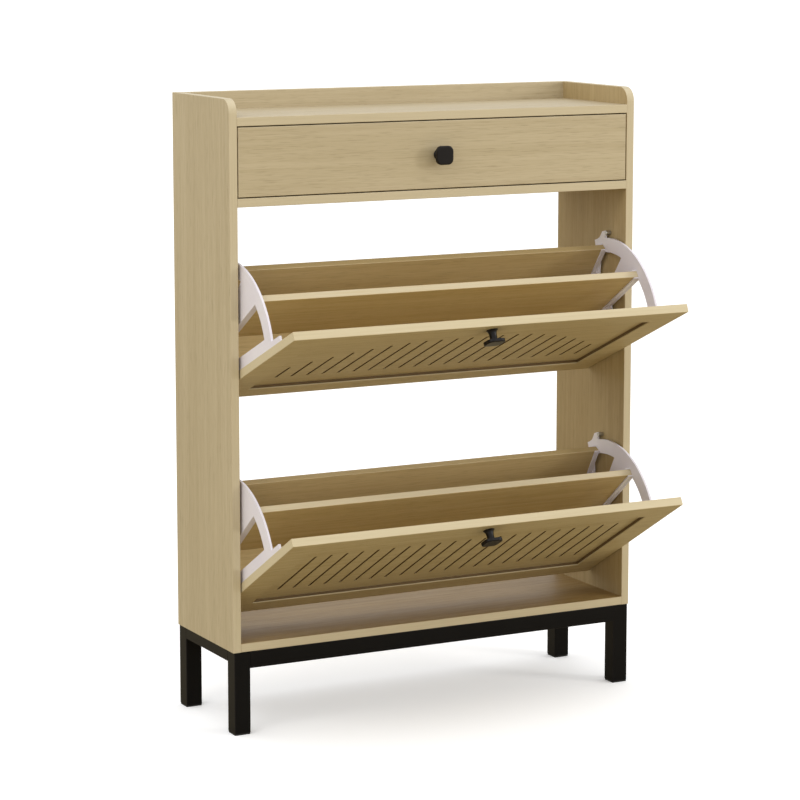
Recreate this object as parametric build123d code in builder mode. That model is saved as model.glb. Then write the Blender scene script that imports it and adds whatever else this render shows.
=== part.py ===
from build123d import *
import os
from math import atan2, cos, degrees, radians, sin, tan

os.makedirs("parts", exist_ok=True)

# Shoe cabinet with two tilt-out shoe bins, one drawer and a square-tube base.
# Millimetres.  X runs across the front, +Y to the back, +Z up.  The origin is on the
# floor, midway between the four feet.  The bins are modelled open, on their stops.

# ---------------------------------------------------------------- driving dimensions
width = 800.0
depth = 240.0
height = 1100.0
board = 15.0                    # carcass and front boards
bin_board = 12.0                # boards inside the shoe bins
drawer_board = 12.0
edge_round = 1.0                # softened edges of the boards
joint_play = 0.05               # radial play round pegs, screws and bolts
tip_play = 0.5                  # blind holes are this much deeper than what they hold
through = 1.0                   # cuts run this far past a wall they go through
cross_width = 1.2               # arms of the screwdriver crosses

base_height = 147.0
tube = 30.0
tube_wall = 1.5
side_rail_height = 20.0
tube_corner = 1.5
leg_inset = 2.0                 # legs stand this far inside the side panels' outer faces
glide_height = 3.0
glide_plug_depth = 12.0
glide_play = 0.2
glide_wall = 2.0
glide_edge = 0.5                # the glide's foot stands this far inside the leg's faces

gallery_rise = 31.0             # side panels above the top board
gallery_radius = 25.0

drawer_front_height = 118.0
drawer_gap = 2.0                # gap all round the drawer front
drawer_side_lift = 8.0          # drawer sides above the drawer front's lower edge
drawer_side_drop = 18.0         # and below its upper edge
drawer_rear_clearance = 12.0    # behind the closed drawer
drawer_bottom_board = 3.0
drawer_groove_depth = 5.0
drawer_groove_lift = 8.0
groove_play = 0.1

slide_end_gap = 1.0             # slides shorter than the drawer sides, at each end
slide_thickness = 12.7
slide_height = 35.0
slide_sheet = 1.2
slide_ball_gap = 2.4            # between the flanges of neighbouring members
slide_lift = 42.0               # slide centre above the drawer sides' lower edge
slide_web_gap = 1.6             # between the webs of the cabinet and middle members
slide_cabinet_flange = 9.5      # the cabinet members' flanges reach this far from the panel
slide_middle_gap = 2.1          # the middle members' flanges stop this far from the drawer
slide_drawer_flange = 5.4       # the drawer members' flanges start this far from the panel
slide_pass_radius = 4.2         # holes in the middle members for the screwdriver
ball_radius = 1.0
balls_per_strip = 5
ball_pitch = 14.0
strip_end = 6.0                 # strip beyond its outermost balls
strip_thickness = 1.0
outer_strip_span = (4.6, 8.6)   # distances from the panel
inner_strip_span = (6.2, 10.0)

flap_side_gap = 2.5
flap_bottom_gap = 9.0           # below the lower flap
flap_middle_gap = 6.0
flap_top_gap = 3.0
flap_border = 50.0              # plain frame round the recessed field
flap_recess = 6.5
pivot_height = 107.0            # pivot above the flap's lower edge
pivot_setback = 42.0            # pivot behind the flap's outer face
upper_open = 66.6               # degrees from closed, on the stop
lower_open = 60.1

slit_count = 21
slit_pitch = 30.0
slit_width = 4.6
slit_depth = 5.0
slit_top = 93.0                 # below the flap's upper edge
slit_bottom = 271.0
arch_end_top = 206.0            # top of the outermost slit of the arched pattern
arch_crown_cut = 12.0           # the arch's crown is cut off level with slit_top

knob_head = 33.0
knob_head_thickness = 6.0
knob_corner = 10.0
knob_edge_round = 2.2
knob_stem_radius = 6.4
knob_foot_radius = 10.0
knob_foot_edge = 1.2
knob_flare_height = 2.2         # where the foot's flare ends
knob_waist = 0.6                # the stem's waist is this much thinner
knob_waist_height = 0.55        # share of the stem
knob_collar = 0.4               # the stem widens this much under the head
knob_projection = 25.0
knob_drop = 25.0                # flap knob below the flap's upper edge

bracket_gap = 4.5               # between a side panel and a bracket
bracket_plate = 4.0
bracket_flange = 16.0           # width of the bracket's flange against the flap
bracket_channel = 9.0           # depth of the channels that hold the boards' ends
bracket_rib = 2.0               # wall of the flange and the channels
arc_outer = 171.0
arc_inner = 145.0
arc_end = 84.0                  # degrees back from the flap's upward direction
front_bar = 20.0
front_bar_top = 204.0
front_bar_bottom = -72.0
front_tab = 10.0
hub_radius = 18.0
pin_radius = 5.0
pin_play = 0.1
pin_length = 11.0
hook_reach = 184.0              # tip of the stop hook from the pivot
hook_front = 71.5               # degrees, the hook's face that meets the peg
hook_back = 74.5
hook_root = 78.0                # where the hook's back meets the arc
hook_root_rise = 2.0            # and how far it stands out there
hook_tip_slope = 1.0
hook_sink = 1.0                 # the hook's outline starts this far inside the arc
hook_heel = 1.0                 # degrees
peg_radius = 4.0
peg_orbit = 180.0
peg_clear = 0.3
peg_end = 1.0                   # the pegs stand this far past the brackets' plates
peg_chamfer = 0.6

divider_lean = 9.0              # degrees back from the flap
divider_foot = 40.0             # front face behind the pivot, at the pivot's height
divider_top = 136.0
divider_bottom = -58.0
back_lean = 30.0
back_top_y = 153.0
back_top_z = 42.0
back_drop = 97.0                # height from the back board's top to its foot
front_floor_level = 0.0
rear_floor_level = -46.0
board_play = 0.3                # between the bin boards and their channels
floor_front_gap = 1.0           # between the front floor and the bracket's flange

heel_reach = 22.0               # bracket's lower rear corner behind the back board
heel_drop = 4.0
toe_reach = 30.0                # bracket's lower front corner behind the divider
web_drop = 6.0                  # bracket below the divider's foot
hub_gap = 6.0                   # window edge above the hub
spoke_cover = 3.0               # the divider's spoke shows this much in front of the divider
window_edge = 50.0              # degrees, rear side of the divider's gusset at the arc
shoulder_gap = 4.0              # degrees, between the rear window and the arc's end
window_foot = 12.0              # rear window's lower front corner above the pivot
gusset_foot = 12.0              # and behind the divider
back_spoke = 30.0               # rear window's lower rear corner in front of the back board
window_fall = 12.0              # and below the front one
pin_collar = 3.0
collar_gap = 0.5                # between the bracket's collar and the socket

socket_radius = 8.0
socket_flange_radius = 12.0
socket_flange = 2.0
socket_length = 11.0            # in the panel

# ---------------------------------------------------------------- derived places
front = -depth / 2
back = depth / 2
side_inner = width / 2 - board
floor_top = base_height + board
top_board_top = height - gallery_rise
top_board_bottom = top_board_top - board
drawer_bay_top = top_board_bottom
drawer_front_top = drawer_bay_top - drawer_gap
drawer_front_bottom = drawer_front_top - drawer_front_height
shelf_top = drawer_front_bottom - drawer_gap
shelf_bottom = shelf_top - board

flap_half = side_inner - flap_side_gap
flap_bay = shelf_bottom - floor_top
flap_height = (flap_bay - flap_bottom_gap - flap_middle_gap - flap_top_gap) / 2
flap_top = flap_height - pivot_height
flap_inner = board - pivot_setback
pivot_y = front + pivot_setback
lower_pivot_z = floor_top + flap_bottom_gap + pivot_height
upper_pivot_z = lower_pivot_z + flap_height + flap_middle_gap

bracket_outer = side_inner - bracket_gap
bracket_inner = bracket_outer - bracket_plate
bin_half = bracket_inner - board_play
divider_slope = tan(radians(divider_lean))
back_slope = tan(radians(back_lean))

leg_x = width / 2 - leg_inset - tube / 2
leg_y = depth / 2 - tube / 2
rail_z = base_height - tube / 2

drawer_front_back = front + board
drawer_side_bottom = drawer_front_bottom + drawer_side_lift
drawer_side_outer = side_inner - slide_thickness
slide_z = drawer_side_bottom + slide_lift
drawer_side_height = drawer_front_height - drawer_side_lift - drawer_side_drop
drawer_side_length = depth - 2 * board - drawer_rear_clearance
slide_length = drawer_side_length - 2 * slide_end_gap
slide_front = drawer_front_back + slide_end_gap


# ---------------------------------------------------------------- helpers
def bore(place, radius, length):
    """Cut a round hole into the current piece, from a plane and against its normal."""
    with Locations(place):
        Cylinder(radius, length, align=(Align.CENTER, Align.CENTER, Align.MAX), mode=Mode.SUBTRACT)


def block(x_range, y_range, z_range, mode=Mode.ADD):
    """A block between three pairs of coordinates."""
    centre = [(low + high) / 2 for low, high in (x_range, y_range, z_range)]
    size = [high - low for low, high in (x_range, y_range, z_range)]
    with Locations(tuple(centre)):
        Box(*size, mode=mode)


def facing(x, y, z, normal):
    """A plane at a point, looking along its normal."""
    return Plane(origin=(x, y, z), z_dir=normal)


def hung(hang, plane):
    """A plane of the closed drawing of a bin, carried to its place by `hang`."""
    return Plane(hang * plane.location)


def cross_recess(place, span, depth):
    """Cut a screwdriver's cross into a head, from a plane and to a depth."""
    with Locations(place):
        Box(span, cross_width, 2 * depth, mode=Mode.SUBTRACT)
        Box(cross_width, span, 2 * depth, mode=Mode.SUBTRACT)


def stud(place, radius, length):
    """A round shank that starts at a plane and runs against its normal."""
    with Locations(place):
        Cylinder(radius, length, align=(Align.CENTER, Align.CENTER, Align.MAX))


def head(place, radius, height):
    """A round head that stands on a plane, along its normal."""
    with Locations(place):
        Cylinder(radius, height, align=(Align.CENTER, Align.CENTER, Align.MIN))


def finish(builder, name):
    """Label a finished piece and write it."""
    builder.part.label = name
    export_step(builder.part, f"parts/{name}.step")


def round_edges(builder, axis, side, radius=edge_round):
    """Soften the long edges of a board, at one end of an axis."""
    corners = builder.faces().sort_by(axis)[side].edges()
    fillet(corners, radius)


# ---------------------------------------------------------------- fastener places
cam_reach = 34.0                # cam centre from the board's end
cam_radius = 7.5
cam_depth = 12.5
cam_bolt_thread = 2.5
cam_bolt_grip = 10.5
cam_bolt_collar = 0.9           # collar wider than the thread, radially
cam_bolt_collar_length = 3.0
cam_bolt_neck = 0.5             # neck thinner than the thread
cam_bolt_bulb = 0.7             # bulb wider than the thread
cam_bolt_room = 1.1             # bolt hole in the board's end, wider than the thread
cam_cross_span = 8.2
cam_cross_depth = 1.5
dowel_radius = 4.0
dowel_length = 30.0
dowel_in_panel = 11.0
cam_inset = 50.0                # cams from the front and back edges of a board

shelf_rows = [                  # (height of the board's middle, y of its cams, y of its dowel)
    (base_height + board / 2, (front + cam_inset, back - cam_inset), 0.0),
    (shelf_bottom + board / 2, (front + cam_inset, back - cam_inset), 0.0),
    (top_board_bottom + board / 2, (front + cam_inset, back - board - cam_inset), -board / 2),
]
rail_y = back - board / 2
rail_bottom = shelf_top
rail_cam_z = (rail_bottom + 36.0, height - 34.0)
rail_dowel_z = (rail_cam_z[0] + rail_cam_z[1]) / 2

cam_points = [(y, z) for z, ys, _ in shelf_rows for y in ys] + [(rail_y, z) for z in rail_cam_z]
dowel_points = [(y, z) for z, _, y in shelf_rows] + [(rail_y, rail_dowel_z)]


def stop_peg_point(pivot_z, open_angle):
    """Centre of the peg that a bin's hook meets when the bin is open."""
    face_offset = degrees((peg_radius + peg_clear) / peg_orbit)
    angle = radians(open_angle - hook_front + face_offset)
    return pivot_y - peg_orbit * sin(angle), pivot_z + peg_orbit * cos(angle)


bins = {"upper": (upper_pivot_z, upper_open), "lower": (lower_pivot_z, lower_open)}
peg_points = [stop_peg_point(z, angle) for z, angle in bins.values()]
socket_points = [(pivot_y, z) for z, _ in bins.values()]
peg_in_panel = 10.0
slide_screw_radius = 1.6
slide_screw_length = 10.0
slide_screw_head = 3.2
slide_screw_head_height = 1.3
slide_screw_inset = 30.0        # from the slides' ends
slide_screw_y = (slide_front + slide_screw_inset, slide_front + slide_length - slide_screw_inset)

base_screw_radius = 2.2
base_screw_length = 13.0
base_screw_head = 4.5
base_screw_head_height = 3.0
base_screw_reach = 250.0        # outer screws of the front and back base rails, from the middle
side_screw_y = 30.0             # beside the bottom board's dowels
side_screw_x = (leg_x - tube / 2 + tube_wall + side_inner) / 2
front_screw_points = [(x, y) for y in (-leg_y, leg_y) for x in (-base_screw_reach, 0.0, base_screw_reach)]
side_screw_points = [(-side_screw_x, side_screw_y), (side_screw_x, side_screw_y)]
base_screw_points = front_screw_points + side_screw_points

# ---------------------------------------------------------------- carcass
for side, name in ((-1, "left_side_panel"), (1, "right_side_panel")):
    inward = (-side, 0, 0)
    with BuildPart() as panel:
        with BuildSketch(Plane.YZ.offset(side * (side_inner + board / 2))) as profile:
            with Locations((0, (base_height + height) / 2)):
                Rectangle(depth, height - base_height)
            fillet(profile.vertices().group_by(Axis.Y)[-1].sort_by(Axis.X)[0], gallery_radius)
        extrude(amount=board / 2, both=True)
        fillet(panel.faces().sort_by(Axis.Y)[0].edges().filter_by(Axis.Z), edge_round)
        for y, z in cam_points:
            bore(facing(side * side_inner, y, z, inward), cam_bolt_thread + joint_play,
                 cam_bolt_grip + tip_play)
        for y, z in dowel_points:
            bore(facing(side * side_inner, y, z, inward), dowel_radius + joint_play,
                 dowel_in_panel + tip_play)
        for y, z in socket_points:
            bore(facing(side * side_inner, y, z, inward), socket_radius + joint_play,
                 socket_length + tip_play)
        for y, z in peg_points:
            bore(facing(side * side_inner, y, z, inward), peg_radius + joint_play,
                 peg_in_panel + tip_play)
        for y in slide_screw_y:
            bore(facing(side * side_inner, y, slide_z, inward), slide_screw_radius + joint_play,
                 slide_screw_length + tip_play)
    finish(panel, name)


def drill_board_end(x_side, y, z, cam_face):
    """Cut the cam's pocket and the bolt's hole at one end of a board."""
    x_end = x_side * side_inner
    bore(facing(x_end, y, z, (x_side, 0, 0)), cam_bolt_thread + cam_bolt_room, cam_reach)
    normal = Vector(*cam_face)
    bore(facing(x_end - x_side * cam_reach, y + normal.Y * board / 2, z + normal.Z * board / 2, cam_face),
         cam_radius + joint_play, cam_depth)


def carcass_board(name, y_range, z_low, row):
    """A board across the cabinet, fixed with cams from below and a dowel at each end."""
    z_mid, cam_ys, dowel_y = row
    with BuildPart() as shelf:
        block((-side_inner, side_inner), y_range, (z_low, z_low + board))
        fillet(shelf.faces().sort_by(Axis.Y)[0].edges().filter_by(Axis.X), edge_round)
        for x_side in (-1, 1):
            for y in cam_ys:
                drill_board_end(x_side, y, z_mid, (0, 0, -1))
            bore(facing(x_side * side_inner, dowel_y, z_mid, (x_side, 0, 0)), dowel_radius + joint_play,
                 dowel_length - dowel_in_panel + tip_play)
        if name == "bottom_board":
            for x, y in base_screw_points:
                bore(facing(x, y, z_low, (0, 0, -1)), base_screw_radius + joint_play,
                     base_screw_length - tube_wall + tip_play)
    finish(shelf, name)


carcass_board("bottom_board", (front, back), base_height, shelf_rows[0])
carcass_board("drawer_shelf", (front, back), shelf_bottom, shelf_rows[1])
carcass_board("top_board", (front, back - board), top_board_bottom, shelf_rows[2])

with BuildPart() as back_rail:
    block((-side_inner, side_inner), (back - board, back), (rail_bottom, height))
    fillet(back_rail.faces().sort_by(Axis.Z)[-1].edges().filter_by(Axis.X), edge_round)
    for x_side in (-1, 1):
        for z in rail_cam_z:
            drill_board_end(x_side, rail_y, z, (0, 1, 0))
        bore(facing(x_side * side_inner, rail_y, rail_dowel_z, (x_side, 0, 0)), dowel_radius + joint_play,
             dowel_length - dowel_in_panel + tip_play)
finish(back_rail, "back_rail")

# ---------------------------------------------------------------- cams, cam bolts and dowels
bolt_head_start = cam_reach - cam_radius
bolt_head_length = 4.0
bolt_reach = bolt_head_start + bolt_head_length
dowel_chamfer = 1.0


def cam_bolt(x_side, y, z):
    """A threaded bolt out of a panel, whose bulb sits inside the cam."""
    panel_face = facing(x_side * side_inner, y, z, (-x_side, 0, 0))
    stud(panel_face, cam_bolt_thread, cam_bolt_grip)
    head(panel_face, cam_bolt_thread + cam_bolt_collar, cam_bolt_collar_length)
    head(panel_face, cam_bolt_thread - cam_bolt_neck, bolt_reach)
    head(panel_face.offset(bolt_head_start), cam_bolt_thread + cam_bolt_bulb, bolt_head_length)


def cam(top, bolt_direction, radius, length, slot_radius, slot_depth, cross_span, cross_depth):
    """A cam disc under a plane: a side slot for the bolt's bulb and a cross for the screwdriver."""
    stud(top, radius, length)
    slot_end = top.origin - top.z_dir * slot_depth + Vector(*bolt_direction) * (radius + through)
    bore(Plane(origin=slot_end, z_dir=bolt_direction), slot_radius, radius + through)
    cross_recess(top, cross_span, cross_depth)


with BuildPart() as cam_bolts:
    for x_side in (-1, 1):
        for y, z in cam_points:
            cam_bolt(x_side, y, z)
finish(cam_bolts, "cam_bolts")

with BuildPart() as cam_locks:
    for x_side in (-1, 1):
        cam_x = x_side * (side_inner - cam_reach)
        tops = [facing(cam_x, y, z - board / 2, (0, 0, -1)) for z, ys, _ in shelf_rows for y in ys]
        tops += [facing(cam_x, back, z, (0, 1, 0)) for z in rail_cam_z]
        for top in tops:
            cam(top, (x_side, 0, 0), cam_radius, cam_depth, cam_bolt_thread + cam_bolt_room, board / 2,
                cam_cross_span, cam_cross_depth)
finish(cam_locks, "cam_locks")

with BuildPart() as dowels:
    for x_side in (-1, 1):
        for y, z in dowel_points:
            middle = x_side * (side_inner + dowel_in_panel - dowel_length / 2)
            with Locations(facing(middle, y, z, (1, 0, 0))):
                Cylinder(dowel_radius, dowel_length)
    chamfer(dowels.edges().filter_by(GeomType.CIRCLE), dowel_chamfer)
finish(dowels, "dowels")

# ---------------------------------------------------------------- base frame
rail_half = leg_x - tube / 2
rail_plate = 3.0
base_bolt_radius = 3.0
base_bolt_head = 4.8
base_bolt_head_length = 5.0
base_bolt_length = 12.0
base_bolt_socket = 2.9          # hexagon socket, corner radius and depth
leg_nut_half = 5.0              # half the width across the nut's flats
leg_nut_height = 5.0
access_radius = 6.5             # screwdriver holes for the bolts
access_reach = 14.0             # their centres from the end plates
screw_access_radius = 5.5       # and for the base screws

for x_side, x_name in ((-1, "left"), (1, "right")):
    for y_side, y_name in ((-1, "front"), (1, "back")):
        with BuildPart() as leg:
            with BuildSketch(Plane.XY.offset(glide_height)):
                with Locations((x_side * leg_x, y_side * leg_y)):
                    RectangleRounded(tube, tube, tube_corner)
                    Rectangle(tube - 2 * tube_wall, tube - 2 * tube_wall, mode=Mode.SUBTRACT)
            extrude(amount=base_height - glide_height)
            bore(facing(x_side * rail_half, y_side * leg_y, rail_z, (-x_side, 0, 0)),
                 base_bolt_radius + joint_play, tube_wall + through)
        finish(leg, f"{y_name}_{x_name}_leg")

for y_side, name in ((-1, "front_base_rail"), (1, "back_base_rail")):
    with BuildPart() as rail:
        with BuildSketch(Plane.YZ):
            with Locations((y_side * leg_y, rail_z)):
                RectangleRounded(tube, tube, tube_corner)
        extrude(amount=rail_half, both=True)
        hollow = tube / 2 - tube_wall
        block((-rail_half + rail_plate, rail_half - rail_plate),
              (y_side * leg_y - hollow, y_side * leg_y + hollow),
              (rail_z - hollow, rail_z + hollow), mode=Mode.SUBTRACT)
        for x_side in (-1, 1):
            bore(facing(x_side * rail_half, y_side * leg_y, rail_z, (x_side, 0, 0)),
                 base_bolt_radius + joint_play, rail_plate + through)
            bore(facing(x_side * (rail_half - rail_plate - access_reach), y_side * (leg_y - tube / 2), rail_z,
                        (0, -y_side, 0)), access_radius, tube_wall + through)
        for x, y in front_screw_points:
            if y == y_side * leg_y:
                bore(facing(x, y, base_height, (0, 0, 1)), base_screw_radius + joint_play,
                     tube_wall + through)
                bore(facing(x, y, base_height - tube, (0, 0, -1)), screw_access_radius, tube_wall + through)
    finish(rail, name)

side_rail_half = leg_y - tube / 2
side_rail_z = base_height - side_rail_height / 2
for x_side, name in ((-1, "left_side_rail"), (1, "right_side_rail")):
    with BuildPart() as rail:
        with BuildSketch(Plane.XZ):
            with Locations((x_side * leg_x, side_rail_z)):
                Rectangle(tube, side_rail_height)
                Rectangle(tube - 2 * tube_wall, side_rail_height - 2 * tube_wall, mode=Mode.SUBTRACT)
        extrude(amount=side_rail_half, both=True)
        bore(facing(x_side * side_screw_x, side_screw_y, base_height, (0, 0, 1)),
             base_screw_radius + joint_play, tube_wall + through)
        bore(facing(x_side * side_screw_x, side_screw_y, base_height - side_rail_height, (0, 0, -1)),
             screw_access_radius, tube_wall + through)
    finish(rail, name)

corners = [(x_side * leg_x, y_side * leg_y) for x_side in (-1, 1) for y_side in (-1, 1)]
with BuildPart() as foot_glides:
    plug = tube - 2 * tube_wall - 2 * glide_play
    for x, y in corners:
        with BuildSketch(Plane.XY):
            with Locations((x, y)):
                RectangleRounded(tube - 2 * glide_edge, tube - 2 * glide_edge, tube_corner)
        extrude(amount=glide_height)
        with BuildSketch(Plane.XY.offset(glide_height)):
            with Locations((x, y)):
                Rectangle(plug, plug)
                Rectangle(plug - 2 * glide_wall, plug - 2 * glide_wall, mode=Mode.SUBTRACT)
        extrude(amount=glide_plug_depth)
finish(foot_glides, "foot_glides")

with BuildPart() as base_bolts:
    for x_side in (-1, 1):
        for y_side in (-1, 1):
            seat = x_side * (rail_half - rail_plate)
            under_head = facing(seat, y_side * leg_y, rail_z, (x_side, 0, 0))
            head(under_head, base_bolt_radius, base_bolt_length)
            stud(under_head, base_bolt_head, base_bolt_head_length)
            head_end = seat - x_side * base_bolt_head_length
            with BuildSketch(facing(head_end, y_side * leg_y, rail_z, (x_side, 0, 0))):
                RegularPolygon(base_bolt_socket, 6)
            extrude(amount=base_bolt_socket, mode=Mode.SUBTRACT)
finish(base_bolts, "base_bolts")

with BuildPart() as leg_nuts:
    for x_side in (-1, 1):
        for y_side in (-1, 1):
            place = facing(x_side * (rail_half + tube_wall), y_side * leg_y, rail_z, (x_side, 0, 0))
            with BuildSketch(place):
                RegularPolygon(leg_nut_half, 6, major_radius=False)
                Circle(base_bolt_radius + joint_play, mode=Mode.SUBTRACT)
            extrude(amount=leg_nut_height)
finish(leg_nuts, "leg_nuts")

with BuildPart() as base_screws:
    for x, y in base_screw_points:
        seat = base_height - tube_wall
        under_head = facing(x, y, seat, (0, 0, -1))
        stud(under_head, base_screw_radius, base_screw_length)
        head(under_head, base_screw_head, base_screw_head_height)
        cross_recess(under_head.offset(base_screw_head_height), base_screw_head, base_screw_head_height / 2)
finish(base_screws, "base_screws")

# ---------------------------------------------------------------- pivot sockets and stop pegs
with BuildPart() as pivot_sockets:
    for x_side in (-1, 1):
        for y, z in socket_points:
            panel_face = facing(x_side * side_inner, y, z, (-x_side, 0, 0))
            stud(panel_face, socket_radius, socket_length)
            head(panel_face, socket_flange_radius, socket_flange)
            bore(panel_face.offset(socket_flange), pin_radius + pin_play, pin_length + tip_play)
finish(pivot_sockets, "pivot_sockets")

peg_length = bracket_gap + bracket_plate + peg_end
with BuildPart() as stop_pegs:
    for x_side in (-1, 1):
        for y, z in peg_points:
            panel_face = facing(x_side * side_inner, y, z, (-x_side, 0, 0))
            stud(panel_face, peg_radius, peg_in_panel)
            head(panel_face, peg_radius, peg_length)
    chamfer(stop_pegs.edges().filter_by(GeomType.CIRCLE), peg_chamfer)
finish(stop_pegs, "stop_pegs")


# ---------------------------------------------------------------- drawer slides
def slide_channel(x_side, web, half_height, flange_from, flange_to):
    """One rolled member: a web and two flanges, given as distances from the side panel."""
    x_web = sorted(x_side * (side_inner - s) for s in (web, web + slide_sheet))
    x_flange = sorted(x_side * (side_inner - s) for s in (flange_from, flange_to))
    run = (slide_front, slide_front + slide_length)
    block(x_web, run, (slide_z - half_height, slide_z + half_height))
    for sign in (-1, 1):
        edge = sorted((slide_z + sign * half_height, slide_z + sign * (half_height - slide_sheet)))
        block(x_flange, run, edge)


def slide_screw(x_side, x_seat, y, direction):
    """A pan-head screw through a slide's web."""
    seat = facing(x_seat, y, slide_z, (direction * x_side, 0, 0))
    head(seat, slide_screw_radius, slide_screw_length)
    stud(seat, slide_screw_head, slide_screw_head_height)


outer_half = slide_height / 2
middle_half = outer_half - slide_sheet - slide_ball_gap
inner_half = middle_half - slide_sheet - slide_ball_gap
middle_web = slide_sheet + slide_web_gap
inner_web = slide_thickness - slide_sheet

members = {
    "slide_cabinet_members": (0.0, outer_half, 0.0, slide_cabinet_flange),
    "slide_middle_members": (middle_web, middle_half, middle_web, slide_thickness - slide_middle_gap),
    "slide_drawer_members": (inner_web, inner_half, slide_drawer_flange, slide_thickness),
}
for name, (web, half_height, flange_from, flange_to) in members.items():
    hole = slide_pass_radius if name == "slide_middle_members" else slide_screw_radius + joint_play
    with BuildPart() as member:
        for x_side in (-1, 1):
            slide_channel(x_side, web, half_height, flange_from, flange_to)
            for y in slide_screw_y:
                bore(facing(x_side * (side_inner - web - slide_sheet), y, slide_z, (-x_side, 0, 0)), hole,
                     slide_sheet + through)
    finish(member, name)

strip_rows = {                  # flange gap centre from the slide's middle, x span from the panel
    "slide_outer_ball_strips": (middle_half + slide_ball_gap / 2, outer_strip_span),
    "slide_inner_ball_strips": (inner_half + slide_ball_gap / 2, inner_strip_span),
}
strip_middle = slide_front + slide_length / 2
strip_half = (balls_per_strip - 1) * ball_pitch / 2 + strip_end
for name, (row, span) in strip_rows.items():
    with BuildPart() as strips:
        for x_side in (-1, 1):
            for sign in (-1, 1):
                z = slide_z + sign * row
                x_span = sorted(x_side * (side_inner - s) for s in span)
                block(x_span, (strip_middle - strip_half, strip_middle + strip_half),
                      (z - strip_thickness / 2, z + strip_thickness / 2))
                with Locations((sum(x_span) / 2, strip_middle, z)):
                    with GridLocations(1, ball_pitch, 1, balls_per_strip):
                        Sphere(ball_radius)
    finish(strips, name)

with BuildPart() as slide_cabinet_screws:
    for x_side in (-1, 1):
        for y in slide_screw_y:
            slide_screw(x_side, x_side * (side_inner - slide_sheet), y, 1)
finish(slide_cabinet_screws, "slide_cabinet_screws")

with BuildPart() as slide_drawer_screws:
    for x_side in (-1, 1):
        for y in slide_screw_y:
            slide_screw(x_side, x_side * (drawer_side_outer + slide_sheet), y, -1)
finish(slide_drawer_screws, "slide_drawer_screws")

# ---------------------------------------------------------------- drawer
drawer_side_top = drawer_side_bottom + drawer_side_height
drawer_side_inner = drawer_side_outer - drawer_board
drawer_back_y = drawer_front_back + drawer_side_length
groove_low = drawer_side_bottom + drawer_groove_lift
groove_high = groove_low + drawer_bottom_board
drawer_front_half = side_inner - drawer_gap
drawer_middle_z = (drawer_front_bottom + drawer_front_top) / 2
front_bolt_rise = 18.0          # lower bolts above the drawer sides' lower edge
front_bolt_drop = 16.0          # upper bolts below their upper edge
front_bolt_z = (drawer_side_bottom + front_bolt_rise, drawer_side_top - front_bolt_drop)
front_cam_reach = 24.0
front_cam_radius = 6.0
front_cam_depth = 9.5
front_cam_cross_span = 6.5
front_cam_cross_depth = 1.2
front_bolt_radius = 2.0
front_bolt_grip = 9.0
front_bolt_room = 0.8           # bolt hole in the drawer sides, wider than the bolt
front_bolt_neck = 0.4
front_bolt_bulb = 0.5
front_bolt_bulb_length = 4.0
front_bulb_start = front_cam_reach - front_cam_radius
drawer_screw_radius = 1.8
drawer_screw_length = 34.0
drawer_screw_head = 3.5
drawer_screw_head_height = 2.4
drawer_screw_cross = 4.6
head_play = 0.1                 # counterbores are this much wider and deeper than the heads
drawer_screw_rise = 26.0        # lower screws above the drawer back's lower edge
drawer_screw_drop = 20.0        # upper screws below its upper edge
drawer_screw_z = (drawer_side_bottom + drawer_screw_rise, drawer_side_top - drawer_screw_drop)
knob_screw_radius = 2.0
knob_screw_bite = 9.0
knob_screw_head = 4.2
knob_screw_head_height = 2.4
knob_screw_cross = 5.0


def drawer_front_bolt_plane(x_side, z):
    """Where a drawer side's edge meets the drawer front, looking back."""
    return facing(x_side * (drawer_side_outer - drawer_board / 2), drawer_front_back, z, (0, 1, 0))


def drawer_screw_plane(x_side, z):
    """Where a screw's head lies in a drawer side, at the drawer's back."""
    return facing(x_side * drawer_side_outer, drawer_back_y - drawer_board / 2, z, (x_side, 0, 0))


with BuildPart() as drawer_front:
    block((-drawer_front_half, drawer_front_half), (front, drawer_front_back),
          (drawer_front_bottom, drawer_front_top))
    round_edges(drawer_front, Axis.Y, 0)
    for x_side in (-1, 1):
        for z in front_bolt_z:
            bore(drawer_front_bolt_plane(x_side, z), front_bolt_radius + joint_play,
                 front_bolt_grip + tip_play)
    block((-drawer_side_inner - drawer_groove_depth, drawer_side_inner + drawer_groove_depth),
          (drawer_front_back - drawer_groove_depth, drawer_front_back),
          (groove_low - groove_play, groove_high + groove_play), mode=Mode.SUBTRACT)
    bore(facing(0, drawer_front_back, drawer_middle_z, (0, 1, 0)), knob_screw_radius + joint_play, board)
finish(drawer_front, "drawer_front")

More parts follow.
